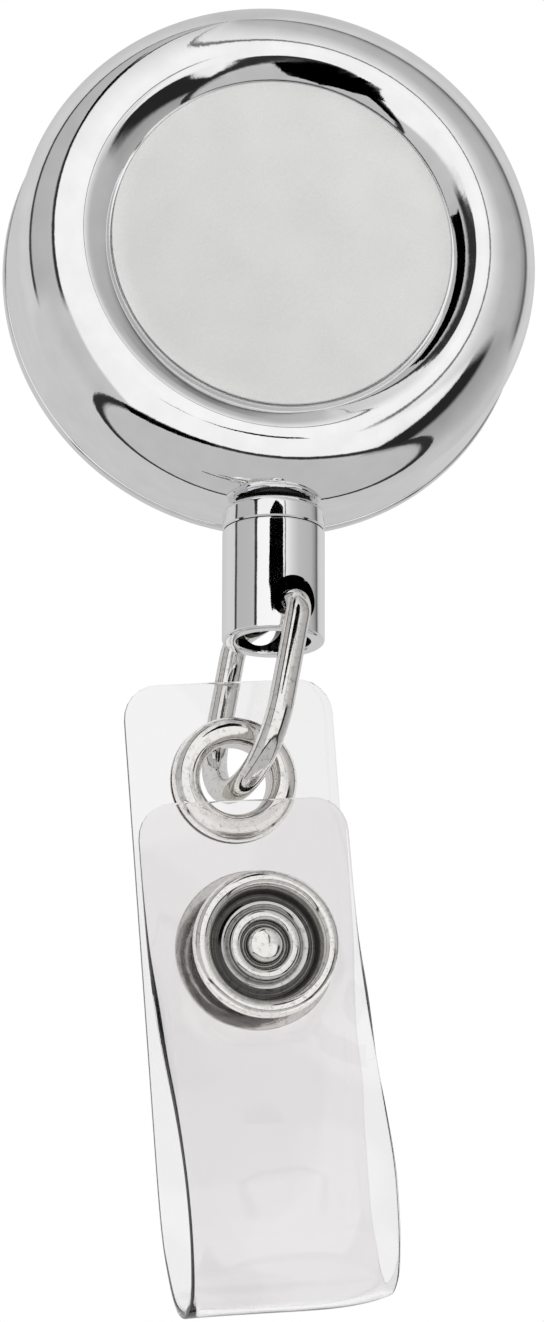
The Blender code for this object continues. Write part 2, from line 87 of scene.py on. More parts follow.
class ReelSizes(bpy.types.PropertyGroup):
    """Driving sizes of the reel."""

    case_r: length_prop("Case radius", "Outer radius of the front cover's wall", 16.05)
    rim_r: length_prop("Rim radius", "Outer radius of the band at the case's rear", 16.15)
    rim_h: length_prop("Rim height", "Height of the band at the case's rear", 0.95)
    crest_h: length_prop("Crest height", "Height of the bezel above the rear face", 9.45)
    crest_r: length_prop("Crest radius", "Radius at which the bezel is highest", 12.45)
    round_r: length_prop("Shoulder radius", "Rounding from the bezel's crest to the wall", 3.6)
    disc_r: length_prop("Disc radius", "Radius of the satin disc", 10.5)
    disc_h: length_prop("Disc height", "Height of the disc's face above the rear face", 8.47)
    ferrule_r: length_prop("Ferrule radius", "Outer radius of the ferrule", 3.1)
    ferrule_bore: length_prop("Ferrule bore", "Radius of the ferrule's bore", 2.25)
    wire_d: length_prop("Link wire", "Diameter of the link ring's wire", 1.55)
    cord_d: length_prop("Cord diameter", "Diameter of the braided cord", 0.7)
    strap_w: length_prop("Strap width", "Width of the vinyl strap", 12.7)
    strap_t: length_prop("Strap thickness", "Thickness of the vinyl", 0.45)
    grommet_r: length_prop("Grommet radius", "Outer radius of the grommet", 3.8)
    snap_r: length_prop("Snap radius", "Outer radius of the snap's cap", 4.42)


class ReelColours(bpy.types.PropertyGroup):
    """Colours of the reel's finishes."""

    chrome: colour_prop("Chrome", "Bright chrome plating", "#F7F7F8")
    nickel: colour_prop("Nickel", "Barrel-plated nickel of the ring, grommet and snap", "#EFEDEA")
    satin: colour_prop("Satin disc", "Satin nickel of the disc", "#F4F4F3")
    steel: colour_prop("Spring steel", "Bare spring steel of the clip and rivet", "#B4B6B9")
    # The bush's near-black colour is painted shade, standing in for the dark outlet hole.
    bush: colour_prop("Bush", "Black moulded bush", "#151515")
    spool: colour_prop("Spool", "Natural acetal of the spool", "#E6E4DC")
    cord: colour_prop("Cord", "Dyed nylon of the cord", "#1B1B1D")
    vinyl: colour_prop("Vinyl", "Tint of the clear vinyl", "#F3F2F2")
    floor: colour_prop("Floor", "Pale studio floor", "#F2F2F2")


# ---------------------------------------------------------------- places

# Depth of the cord's line, on which the ferrule is centred.
CORD_Y = -5.2
# Turns a section's height from +Z to the front, -Y.
FACING = Matrix.Rotation(math.radians(90.0), 4, "X")
STRAP_ORIGIN = (-2.4, CORD_Y, -33.4)
STRAP_TURN = Euler((math.radians(7.0), math.radians(-5.8), math.radians(2.0)), "YXZ")
# Clearance between pieces that sit in each other.
GAP = 0.06
# Sheet metal of the case, the floor of the disc's recess, and the hole for the bush.
COVER_T = 0.5
RECESS_H = 8.0
OUTLET_R = 2.45
# Strip metal of the belt clip.
CLIP_T = 0.5
# How far the link ring's bar is turned from the front, and how far the ring swings to the side.
CROSS_TURN = math.radians(16.5)
RING_SWING = math.radians(10.7)
# The snap's centre and the front leaf's depth in the strap's own frame.
SNAP = (0.6, -10.35)
FRONT_LEAF_Y = -2.0
# Radius on the snap's cap and the brightness painted there: painted shade darkens the plating in the cap's
# grooves, where shade falls, between bright rings.
CAP_SHADE_RINGS_R = 4.5
CAP_SHADE_RINGS = (
    (0.0, 1.0), (0.95, 1.0), (1.15, 0.4), (1.35, 0.45), (1.55, 0.95), (2.0, 0.95), (2.3, 0.45), (2.5, 0.75),
    (2.75, 0.6), (2.95, 0.22), (3.2, 0.24), (3.5, 0.95), (3.8, 1.0), (4.5, 1.0),
)


def mm(point):
    """A point in millimetres as a vector in metres."""
    return Vector(point) * MM


def size(name):
    """A driving size in millimetres."""
    return getattr(bpy.context.scene.reel_sizes, name) / MM


def at(x=0.0, y=0.0, z=0.0):
    """A move by millimetres."""
    return Matrix.Translation(mm((x, y, z)))


def strap_place(x=0.0, y=0.0, z=0.0):
    """The strap's own frame, which starts at the grommet's hole, moved by x, y and z in it."""
    return at(*STRAP_ORIGIN) @ STRAP_TURN.to_matrix().to_4x4() @ at(x, y, z)


# ---------------------------------------------------------------- modelling helpers

def pick(*pieces):
    """Selects only these pieces and makes the first one active."""
    bpy.ops.object.select_all(action="DESELECT")
    for piece in pieces:
        piece.select_set(True)
    bpy.context.view_layer.objects.active = pieces[0]


def draw(name, points):
    """A chain of edges through the points: one vertex, extruded along them."""
    bpy.ops.object.select_all(action="DESELECT")
    bpy.ops.mesh.primitive_plane_add(size=MM)
    piece = bpy.context.object
    piece.name = name
    piece.data.name = name
    bpy.ops.object.mode_set(mode="EDIT")
    bpy.ops.mesh.select_all(action="SELECT")
    bpy.ops.mesh.merge(type="CENTER")
    bpy.ops.transform.translate(value=mm(points[0]))
    for here, there in zip(points, points[1:]):
        step = mm(there) - mm(here)
        bpy.ops.mesh.extrude_vertices_move(TRANSFORM_OT_translate={"value": step})
    bpy.ops.object.mode_set(mode="OBJECT")
    return piece


def place(piece, matrix):
    """Moves a piece to its place and applies it to the mesh."""
    pick(piece)
    piece.matrix_world = matrix
    bpy.ops.object.transform_apply(location=True, rotation=True, scale=True)
    return piece


def apply(piece, kind, **settings):
    """Adds a modifier with its settings and applies it."""
    pick(piece)
    modifier = piece.modifiers.new(kind.lower(), kind)
    for setting, value in settings.items():
        setattr(modifier, setting, value)
    bpy.ops.object.modifier_apply(modifier=modifier.name)


def smooth(piece, degrees=32.0):
    """Shades a piece smooth, but for edges sharper than the given angle."""
    pick(piece)
    bpy.ops.object.shade_smooth_by_angle(angle=math.radians(degrees))


def turn(name, section, matrix, steps=SMALL_STEPS):
    """A turned piece: half its section, as (radius, height), is drawn and spun about Z."""
    outline = list(section)
    if outline[0][0] > 0.0 or outline[-1][0] > 0.0:
        outline.append(outline[0])
    piece = draw(name, [(radius, 0.0, height) for radius, height in outline])
    bpy.ops.object.mode_set(mode="EDIT")
    bpy.ops.mesh.select_all(action="SELECT")
    bpy.ops.mesh.spin(steps=steps, angle=math.tau, center=(0.0, 0.0, 0.0), axis=(0.0, 0.0, 1.0))
    bpy.ops.mesh.select_all(action="SELECT")
    bpy.ops.mesh.remove_doubles(threshold=WELD)
    bpy.ops.mesh.normals_make_consistent(inside=False)
    bpy.ops.object.mode_set(mode="OBJECT")
    place(piece, matrix)
    smooth(piece)
    return piece


def drill(piece, radius, depth, centre, direction, sides=72):
    """Cuts a round hole through a piece."""
    bpy.ops.object.select_all(action="DESELECT")
    turned = Vector(direction).to_track_quat("Z", "Y").to_euler()
    bpy.ops.mesh.primitive_cylinder_add(vertices=sides, radius=radius * MM, depth=depth * MM,
                                        location=mm(centre), rotation=turned)
    tool = bpy.context.object
    apply(piece, "BOOLEAN", operation="DIFFERENCE", solver="EXACT", object=tool)
    bpy.data.objects.remove(tool)
    smooth(piece)


def sheet(name, rails):
    """A sheet that spans a row of rails, which are chains of as many points each."""
    chains = [draw(name, rail) for rail in rails]
    count = len(rails[0])
    pick(*chains)
    bpy.ops.object.join()
    piece = bpy.context.object
    for index in range(len(rails) - 1):
        first = index * count
        bpy.ops.object.mode_set(mode="EDIT")
        bpy.ops.mesh.select_all(action="DESELECT")
        bpy.ops.object.mode_set(mode="OBJECT")
        for edge in piece.data.edges:
            low = min(edge.vertices)
            edge.select = first <= low and max(edge.vertices) < first + 2 * count
        bpy.ops.object.mode_set(mode="EDIT")
        bpy.ops.mesh.select_mode(type="EDGE")
        bpy.ops.mesh.bridge_edge_loops(type="PAIRS")
    bpy.ops.mesh.select_all(action="SELECT")
    bpy.ops.mesh.normals_make_consistent(inside=False)
    bpy.ops.mesh.select_mode(type="VERT")
    bpy.ops.object.mode_set(mode="OBJECT")
    return piece


def tube(name, points, diameter, sides=6):
    """A round wire or cord along the points, with closed ends."""
    piece = draw(name, points)
    pick(piece)
    bpy.ops.object.convert(target="CURVE")
    piece = bpy.context.object
    piece.data.bevel_depth = diameter * MM / 2.0
    piece.data.bevel_resolution = sides
    piece.data.use_fill_caps = True
    bpy.ops.object.convert(target="MESH")
    piece = bpy.context.object
    bpy.ops.object.mode_set(mode="EDIT")
    bpy.ops.mesh.select_all(action="SELECT")
    bpy.ops.mesh.remove_doubles(threshold=WELD)
    bpy.ops.mesh.normals_make_consistent(inside=False)
    bpy.ops.object.mode_set(mode="OBJECT")
    smooth(piece, 50.0)
    return piece


def arc(centre, radius, start, end, count):
    """Points along an arc from start to end degrees."""
    points = []
    for index in range(count + 1):
        angle = math.radians(start + (end - start) * index / count)
        points.append((centre[0] + radius * math.cos(angle), centre[1] + radius * math.sin(angle)))
    return points


def bezier(start, handle_a, handle_b, end, count):
    """Points along a cubic curve."""
    points = []
    for index in range(count + 1):
        t = index / count
        weights = ((1 - t) ** 3, 3 * t * (1 - t) ** 2, 3 * t * t * (1 - t), t ** 3)
        knots = (start, handle_a, handle_b, end)
        points.append(tuple(sum(w * k[axis] for w, k in zip(weights, knots)) for axis in range(len(start))))
    return points


def through(stations, count):
    """A smooth curve through the stations, with count steps between each two."""
    points = []
    for index in range(len(stations) - 1):
        before = stations[max(index - 1, 0)]
        here, there = stations[index], stations[index + 1]
        after = stations[min(index + 2, len(stations) - 1)]
        for step in range(count):
            t = step / count
            points.append(tuple(
                0.5 * (2 * b + (c - a) * t + (2 * a - 5 * b + 4 * c - d) * t * t
                       + (3 * b - a - 3 * c + d) * t ** 3)
                for a, b, c, d in zip(before, here, there, after)))
    points.append(tuple(stations[-1]))
    return points


def settle(piece, body, slot, finish, *replaced):
    """Gives a finished piece its material, the body it moves with and the nodes it stands for."""
    piece.data.materials.clear()
    piece.data.materials.append(finish)
    if body:
        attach(piece, body)
    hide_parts(*replaced)
    return piece


# ---------------------------------------------------------------- materials

def add_node(tree, kind, inputs=None, **settings):
    """Adds a node with its settings. Inputs are values or the sockets that feed them."""
    added = tree.nodes.new(kind)
    for setting, value in settings.items():
        setattr(added, setting, value)
    for socket, value in (inputs or {}).items():
        if isinstance(value, bpy.types.NodeSocket):
            tree.links.new(value, added.inputs[socket])
        else:
            added.inputs[socket].default_value = value
    return added


def start_material(name, colour, **constants):
    """A material with its shader's constants set, its node tree, its shader and Object coordinates."""
    made = bpy.data.materials.get(name)
    if made is not None:
        return made, None, None, None
    made = bpy.data.materials.new(name)
    made.use_nodes = True
    tree = made.node_tree
    shader = tree.nodes["Principled BSDF"]
    shader.inputs["Base Color"].default_value = (*colour, 1.0)
    for socket, value in constants.items():
        shader.inputs[socket.replace("_", " ")].default_value = value
    coordinates = add_node(tree, "ShaderNodeTexCoord").outputs["Object"]
    return made, tree, shader, coordinates


def noise(tree, coordinates, feature_mm, detail=2.0, roughness=0.5):
    """Noise whose blotches are about feature_mm across."""
    return add_node(tree, "ShaderNodeTexNoise", {
        "Vector": coordinates, "Scale": 1.0 / (feature_mm * MM), "Detail": detail,
        "Roughness": roughness}).outputs["Fac"]


def spread(tree, value, low, high, start=0.3, end=0.7):
    """Maps a noise value onto a range."""
    return add_node(tree, "ShaderNodeMapRange", {
        "Value": value, "From Min": start, "From Max": end, "To Min": low, "To Max": high}).outputs["Result"]


def sum_up(tree, operation, first, second, third=None):
    """One step of arithmetic on values or sockets."""
    inputs = {0: first, 1: second}
    if third is not None:
        inputs[2] = third
    return add_node(tree, "ShaderNodeMath", inputs, operation=operation).outputs[0]


def span(tree, angle, start, end):
    """Rises smoothly from 0 to 1 between two angles in degrees."""
    return add_node(tree, "ShaderNodeMapRange", {
        "Value": angle, "From Min": math.radians(start), "From Max": math.radians(end)},
        interpolation_type="SMOOTHSTEP").outputs["Result"]


def grey_ramp(tree, angle, whole, stops):
    """A grey for each angle, from stops of (degrees, grey) over a whole of so many degrees."""
    share = sum_up(tree, "MULTIPLY_ADD", angle, 1.0 / math.radians(whole), 0.5)
    ramp = add_node(tree, "ShaderNodeValToRGB", {0: share})
    marks = ramp.color_ramp.elements
    for mark, (degrees, grey) in zip((marks[0], marks[1]), (stops[0], stops[-1])):
        mark.position = degrees / whole + 0.5
        mark.color = (grey, grey, grey, 1.0)
    for degrees, grey in stops[1:-1]:
        marks.new(degrees / whole + 0.5).color = (grey, grey, grey, 1.0)
    return ramp.outputs["Color"]


def blend_greys(tree, factor, first, second):
    """A grey between two, by a factor."""
    return add_node(tree, "ShaderNodeMix", {"Factor": factor, 2: first, 3: second}).outputs[0]


def tint(tree, factor, dark, light):
    """A colour between two, by a factor."""
    mixed = add_node(tree, "ShaderNodeMix", {"Factor": factor}, data_type="RGBA")
    mixed.inputs[6].default_value = (*dark, 1.0)
    mixed.inputs[7].default_value = (*light, 1.0)
    return mixed.outputs[2]


def bump(tree, height, distance_mm, normal=None):
    """A bump whose full height is distance_mm."""
    inputs = {"Height": height, "Strength": 1.0, "Distance": distance_mm * MM}
    if normal is not None:
        inputs["Normal"] = normal
    return add_node(tree, "ShaderNodeBump", inputs).outputs["Normal"]


def shaded(colour, share):
    """A colour darkened to a share of itself."""
    return tuple(channel * share for channel in colour)


def chrome():
    """Decorative chrome on drawn steel: a mirror whose edges of light waver with the polish below."""
    colour = tuple(bpy.context.scene.reel_colours.chrome)
    made, tree, shader, where = start_material("bright_chrome_plating", colour, Metallic=1.0)
    if tree is None:
        return made
    polish(tree, shader, where, colour)
    return made


def polish(tree, shader, where, colour):
    """Gives a plated face its blotches, its slow change of gloss and its waver."""
    blotch = noise(tree, where, 1.7, 3.0)
    tree.links.new(tint(tree, spread(tree, blotch, 0.0, 1.0), shaded(colour, 0.93), colour),
                   shader.inputs["Base Color"])
    tree.links.new(spread(tree, noise(tree, where, 0.9, 4.0), 0.02, 0.06), shader.inputs["Roughness"])
    waver = bump(tree, noise(tree, where, 1.1, 2.0), 0.0035)
    tree.links.new(bump(tree, noise(tree, where, 0.16, 2.0), 0.0007, waver), shader.inputs["Normal"])


def chrome_painted_shade_in_bore(outer, rim_z):
    """Chrome on the ferrule's tube, with painted shade: the inside of the bore and the cross hole is painted
    nearly black, where shade falls.
    """
    colour = tuple(bpy.context.scene.reel_colours.chrome)
    made, tree, shader, where = start_material("chrome_plating_painted_shade_in_bore", colour, Metallic=1.0)
    if tree is None:
        return made
    polish(tree, shader, where, colour)
    parts = add_node(tree, "ShaderNodeSeparateXYZ", {0: where}).outputs
    across = sum_up(tree, "SUBTRACT", parts["Y"], CORD_Y * MM)
    squares = sum_up(tree, "MULTIPLY_ADD", across, across, sum_up(tree, "MULTIPLY", parts["X"], parts["X"]))
    radius = sum_up(tree, "SQRT", squares, 0.0)
    outside = spread(tree, radius, 0.0, 1.0, (outer - 0.16) * MM, (outer - 0.1) * MM)
    rim = spread(tree, parts["Z"], 1.0, 0.0, (rim_z + 0.15) * MM, (rim_z + 0.25) * MM)
    plated = sum_up(tree, "MAXIMUM", outside, rim)
    # Painted shade: away from the outer face and the lower end, inside the bore and the cross hole, the
    # colour is nearly black.
    tree.links.new(tint(tree, plated, shaded(colour, 0.012), colour), shader.inputs["Base Color"])
    return made


def barrel_nickel():
    """Nickel on tumbled steel: small dents and dull spots from the barrel break its reflections up."""
    colour = tuple(bpy.context.scene.reel_colours.nickel)
    made, tree, shader, where = start_material("barrel_plated_nickel", colour, Metallic=1.0)
    if tree is not None:
        tumble(tree, shader, where, colour)
    return made


def nickel_with_painted_groove_shade(cap_place):
    """Tumbled nickel on the snap's cap: painted shade in its grooves draws dark rings between bright ones."""
    colour = tuple(bpy.context.scene.reel_colours.nickel)
    made, tree, shader, where = start_material("barrel_plated_nickel_painted_groove_shade", colour, Metallic=1.0)
    if tree is None:
        return made
    base = tumble(tree, shader, where, colour)
    back = cap_place.inverted()
    local = add_node(tree, "ShaderNodeMapping", {
        "Vector": where, "Location": back.translation, "Rotation": back.to_euler()}).outputs[0]
    flat = add_node(tree, "ShaderNodeVectorMath", {0: local, 1: (1.0, 1.0, 0.0)},
                    operation="MULTIPLY").outputs[0]
    radius = add_node(tree, "ShaderNodeVectorMath", {0: flat}, operation="LENGTH").outputs["Value"]
    rings = add_node(tree, "ShaderNodeValToRGB", {
        "Fac": sum_up(tree, "DIVIDE", radius, CAP_SHADE_RINGS_R * MM)})
    stops = rings.color_ramp.elements
    while len(stops) < len(CAP_SHADE_RINGS):
        stops.new(0.5)
    for stop, (at_r, grey) in zip(stops, CAP_SHADE_RINGS):
        stop.position = at_r / CAP_SHADE_RINGS_R
        stop.color = (grey, grey, grey, 1.0)
    darkened = add_node(tree, "ShaderNodeMix", {0: 1.0, 6: base, 7: rings.outputs["Color"]}, data_type="RGBA",
                        blend_type="MULTIPLY").outputs[2]
    tree.links.new(darkened, shader.inputs["Base Color"])
    return made


def tumble(tree, shader, where, colour):
    """Gives a barrel-plated face its dull spots, gloss and dents, and returns its base colour's socket."""
    spots = noise(tree, where, 0.3, 5.0, 0.7)
    base = tint(tree, spread(tree, spots, 0.0, 1.0, 0.52, 0.68), colour, shaded(colour, 0.62))
    tree.links.new(base, shader.inputs["Base Color"])
    tree.links.new(spread(tree, noise(tree, where, 0.7, 4.0), 0.03, 0.11), shader.inputs["Roughness"])
    dents = bump(tree, noise(tree, where, 0.8, 3.0), 0.005)
    tree.links.new(bump(tree, noise(tree, where, 0.18, 2.0), 0.0015, dents), shader.inputs["Normal"])
    return base


def satin_nickel():
    """Satin nickel, bead blasted: an even, fine grain. The grit, 0.05 mm, is drawn at 0.12 mm to show."""
    colour = tuple(bpy.context.scene.reel_colours.satin)
    made, tree, shader, where = start_material("satin_blasted_nickel", colour, Metallic=1.0)
    if tree is None:
        return made
    grain = noise(tree, where, 0.12, 2.0, 0.6)
    tree.links.new(tint(tree, spread(tree, grain, 0.0, 1.0), shaded(colour, 0.94), colour),
                   shader.inputs["Base Color"])
    tree.links.new(spread(tree, noise(tree, where, 3.0), 0.42, 0.5), shader.inputs["Roughness"])
    tree.links.new(bump(tree, grain, 0.003), shader.inputs["Normal"])
    return made


def spring_steel():
    """Tempered spring steel, rolled: faint streaks along Z, tumbled dull spots between them."""
    colour = tuple(bpy.context.scene.reel_colours.steel)
    made, tree, shader, where = start_material("rolled_spring_steel", colour, Metallic=1.0)
    if tree is None:
        return made
    drawn_out = add_node(tree, "ShaderNodeMapping", {"Vector": where, "Scale": (1.0, 1.0, 0.04)}).outputs[0]
    streak = noise(tree, drawn_out, 0.18, 3.0, 0.65)
    tree.links.new(tint(tree, spread(tree, streak, 0.0, 1.0), shaded(colour, 0.82), colour),
                   shader.inputs["Base Color"])
    tree.links.new(spread(tree, noise(tree, where, 1.5, 4.0), 0.18, 0.34), shader.inputs["Roughness"])
    tree.links.new(bump(tree, streak, 0.0025), shader.inputs["Normal"])
    return made


def moulded(name, colour, low, high, ior):
    """Moulded plastic: the tool's fine spark texture and a slow change of gloss."""
    made, tree, shader, where = start_material(name, colour, Metallic=0.0, IOR=ior)
    if tree is None:
        return made
    flow = noise(tree, where, 2.2, 3.0)
    tree.links.new(tint(tree, spread(tree, flow, 0.0, 1.0), shaded(colour, 0.86), colour),
                   shader.inputs["Base Color"])
    tree.links.new(spread(tree, flow, low, high), shader.inputs["Roughness"])
    tree.links.new(bump(tree, noise(tree, where, 0.11, 2.0), 0.004), shader.inputs["Normal"])
    return made


def braided_nylon():
    """Braided nylon cord: strands 0.2 mm apart cross at a slant and stand proud of the gaps."""
    colour = tuple(bpy.context.scene.reel_colours.cord)
    made, tree, shader, where = start_material("braided_nylon", colour, Roughness=0.62, IOR=1.53,
                                               Sheen_Weight=0.35, Sheen_Roughness=0.4)
    if tree is None:
        return made
    strands = []
    for slant in (38.0, -38.0):
        turned = add_node(tree, "ShaderNodeMapping", {
            "Vector": where, "Rotation": (0.0, math.radians(slant), 0.0)}).outputs[0]
        strands.append(add_node(tree, "ShaderNodeTexWave", {
            "Vector": turned, "Scale": 0.5 / (0.2 * MM) / 3.14, "Distortion": 0.4},
            bands_direction="Z").outputs["Fac"])
    weave = add_node(tree, "ShaderNodeMath", {0: strands[0], 1: strands[1]}, operation="MAXIMUM").outputs[0]
    tree.links.new(tint(tree, weave, shaded(colour, 0.4), colour), shader.inputs["Base Color"])
    tree.links.new(bump(tree, weave, 0.05), shader.inputs["Normal"])
    return made


def clear_vinyl():
    """Clear flexible vinyl sheet, calendered and die cut: glossy, slightly wavy, with a grey tint."""
    colour = tuple(bpy.context.scene.reel_colours.vinyl)
    made, tree, shader, where = start_material("clear_calendered_vinyl", colour, Metallic=0.0, IOR=1.53,
                                               Transmission_Weight=1.0)
    if tree is None:
        return made
    patches = noise(tree, where, 11.0, 1.0)
    tree.links.new(tint(tree, spread(tree, patches, 0.0, 1.0, 0.49, 0.52), shaded(colour, 0.965), colour),
                   shader.inputs["Base Color"])
    tree.links.new(spread(tree, noise(tree, where, 2.0, 4.0), 0.015, 0.06), shader.inputs["Roughness"])
    wave = bump(tree, noise(tree, where, 3.4, 1.0), 0.03)
    tree.links.new(bump(tree, noise(tree, where, 0.35, 2.0), 0.0008, wave), shader.inputs["Normal"])
    return made


# ---------------------------------------------------------------- case

class REEL_OT_front_cover(bpy.types.Operator):
    """Drawn and plated front of the case, with its rounded bezel and the recess for the disc"""

    bl_idname = "badge_reel.front_cover"
    bl_label = "Front cover"

    def execute(self, context):
        outer = size("case_r")
        inner = outer - COVER_T
        seat = size("disc_r") + 0.12
        floor = RECESS_H
        crest = (size("crest_r"), size("crest_h"))
        shoulder = (crest[0], crest[1] - size("round_r"))
        wall_foot = size("rim_h") + GAP
        section = [(0.0, floor), (seat, floor), (seat, floor + 0.44)]
        slope_top = (crest[0] - 0.65, crest[1] - 0.174)
        section += bezier((seat + 0.08, floor + 0.52), (seat + 0.42, floor + 0.86),
                          (slope_top[0] - 0.4, slope_top[1] - 0.23), slope_top, 12)
        section += arc((crest[0], crest[1] - 1.3), 1.3, 120.0, 90.0, 12)[1:]
        section += arc(shoulder, size("round_r"), 90.0, 0.0, 28)[1:]
        section += [(outer, wall_foot + 0.1), (outer - 0.1, wall_foot), (inner, wall_foot)]
        section += arc(shoulder, size("round_r") - COVER_T, 0.0, 90.0, 8)
        section += [(11.7, 8.7), (11.25, 8.2), (11.1, floor - COVER_T), (0.0, floor - COVER_T)]
        cover = turn("front_cover_shell", section, FACING, ROUND_STEPS)
        drill(cover, OUTLET_R, 4.0, (0.0, CORD_Y, -outer), (0, 0, 1))
        settle(cover, "case", "chrome", chrome(), "front_cover")
        return {"FINISHED"}


class REEL_OT_disc(bpy.types.Operator):
    """Thin satin disc set in the bezel's recess"""

    bl_idname = "badge_reel.disc"
    bl_label = "Face disc"

    def execute(self, context):
        front = size("disc_h")
        edge = size("disc_r")
        dish = 0.3
        edge_r = 0.12
        rim = edge - edge_r
        rings = 12
        section = [(rim * ring / rings, front - dish * (1.0 - (ring / rings) ** 2)) for ring in range(rings)]
        section += arc((rim, front - edge_r), edge_r, 90.0, 0.0, 6)
        section += [(edge, RECESS_H + GAP), (0.0, RECESS_H + GAP)]
        disc = turn("satin_face_disc", section, FACING, ROUND_STEPS)
        settle(disc, "case", "satin_nickel", satin_nickel(), "face_disc")
        return {"FINISHED"}


class REEL_OT_rear_cover(bpy.types.Operator):
    """Flat rear plate with the raised band at the case's rear edge"""

    bl_idname = "badge_reel.rear_cover"
    bl_label = "Rear cover"

    def execute(self, context):
        outer = size("rim_r")
        band = size("rim_h")
        lip_out = size("case_r") - COVER_T - GAP
        lip_in = lip_out - 0.4
        hole = 0.85
        section = [(lip_in, 1.8), (lip_out, 1.8), (lip_out, band)]
        section += arc((outer - 0.16, band - 0.16), 0.16, 90.0, 0.0, 6)
        section += arc((outer - 0.3, 0.3), 0.3, 0.0, -90.0, 8)
        section += [(outer - 1.4, 0.0), (outer - 1.55, 0.0), (6.0, 0.0), (hole + 0.05, 0.0), (hole, 0.05),
                    (hole, 0.6), (lip_in - 0.4, 0.6), (lip_in, 1.0)]
        cover = turn("rear_cover_plate", section, FACING, ROUND_STEPS)
        drill(cover, OUTLET_R, 3.0, (0.0, CORD_Y, -size("case_r")), (0, 0, 1))
        settle(cover, "case", "chrome", chrome(), "rear_cover")
        return {"FINISHED"}


class REEL_OT_bush(bpy.types.Operator):
    """Plastic bush in the case's wall, with a flared mouth for the cord; its near-black colour is painted
    shade for the dark outlet hole
    """

    bl_idname = "badge_reel.bush"
    bl_label = "Outlet bush"

    def execute(self, context):
        neck = OUTLET_R - GAP
        section = [(1.5, 0.6), (2.9, 0.6), (2.9, 0.0), (neck, 0.0)]
        section += arc((neck - 0.15, -1.0), 0.15, 0.0, -90.0, 5)
        section += arc((1.15, -0.75), 0.4, 270.0, 180.0, 8)
        section += [(0.75, -0.35), (0.95, 0.2)]
        bush = turn("outlet_bush", section, at(0.0, CORD_Y, -14.6))
        # Its near-black colour is painted shade for the outlet hole.
        settle(bush, "case", "black_plastic",
               moulded("moulded_abs_painted_shade_black", tuple(context.scene.reel_colours.bush), 0.34, 0.48, 1.54),
               "outlet_bushing")
        return {"FINISHED"}


# ---------------------------------------------------------------- belt clip

class REEL_OT_clip(bpy.types.Operator):
    """Belt clip: one strip of spring steel, riveted behind the case and bent over at the top"""

    bl_idname = "badge_reel.clip"
    bl_label = "Belt clip"

    def execute(self, context):
        near = 0.3
        far = near + CLIP_T + 4.25
        bend = (far - near) / 2.0
        neck = near + 0.85
        path = [(near, -11.0 + 0.12 * step * step) for step in range(5)]
        path += [(near, z) for z in (-6.0, -2.0, 2.0, 6.0, 9.0, 11.0, 12.0)]
        path += arc((near + bend, 12.3), bend, 180.0, 0.0, 28)
        path += bezier((far, 10.5), (far, 8.0), (far, 4.0), (far, 1.0), 5)
        path += bezier((far, 1.0), (far, -4.0), (near + 0.9, -5.5), (neck, -8.4), 16)[1:]
        path += bezier((neck, -8.4), (neck, -9.2), (near + 1.3, -10.2), (near + 2.0, -11.2), 8)[1:]
        half_widths = ends_rounded(path, 5.0, 1.8, 3.0)
        rails = []
        for index in range(7):
            share = -1.0 + index / 3.0
            rails.append([(share * half, y, z) for half, (y, z) in zip(half_widths, path)])
        clip = sheet("belt_clip_strip", rails)
        apply(clip, "SOLIDIFY", thickness=CLIP_T * MM, offset=0.0, use_even_offset=True)
        apply(clip, "BEVEL", width=0.09 * MM, segments=2, limit_method="ANGLE",
              angle_limit=math.radians(50.0))
        drill(clip, 0.85, 1.0, (0.0, near, 0.0), (0, 1, 0))
        settle(clip, None, "spring_steel", spring_steel(), "clip_leaf", "clip_tongue")
        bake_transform(clip)
        under = -(0.55 + GAP)
        section = [(0.0, 4.4), (0.6, 4.4), (0.75, 4.25), (0.75, under), (2.15, under)]
        section += bezier((2.2, under - 0.05), (2.15, under - 0.4), (1.1, under - 0.6),
                          (0.0, under - 0.6), 10)
        rivet = turn("clip_rivet_head", section, FACING)
        settle(rivet, "case", "spring_steel", spring_steel(), "clip_rivet")
        return {"FINISHED"}


def ends_rounded(path, half_width, first_r, last_r):
    """Half the strip's width at each point of its path, with rounded corners at both ends."""
    run = [0.0]
    for here, there in zip(path, path[1:]):
        run.append(run[-1] + math.dist(here, there))
    halves = []
    for travelled in run:
        half = half_width
        for radius, away in ((first_r, travelled), (last_r, run[-1] - travelled)):
            if away < radius:
                half = min(half, half_width - radius + math.sqrt(radius ** 2 - (radius - away) ** 2))
        halves.append(half)
    return halves


# ---------------------------------------------------------------- cord, ferrule and link ring

class REEL_OT_cord(bpy.types.Operator):
    """The short length of cord from its winding through the bush to its knot in the ferrule"""

    bl_idname = "badge_reel.cord"
    bl_label = "Cord"

    def execute(self, context):
        route = [(5.95, -10.15), (4.2, -11.2)]
        route += bezier((2.5, -12.2), (1.2, -12.95), (0.0, -13.6), (0.0, -14.6), 10)
        route += [(0.0, -15.4), (0.0, -15.8), (0.0, -16.3), (0.0, -16.8), (0.0, -17.2), (0.0, -18.5)]
        cord = tube("cord_end_lead", [(x, CORD_Y, z) for x, z in route], size("cord_d"))
        settle(cord, None, "nylon_cord", braided_nylon(), "cord_lead")
        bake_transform(cord)
        return {"FINISHED"}


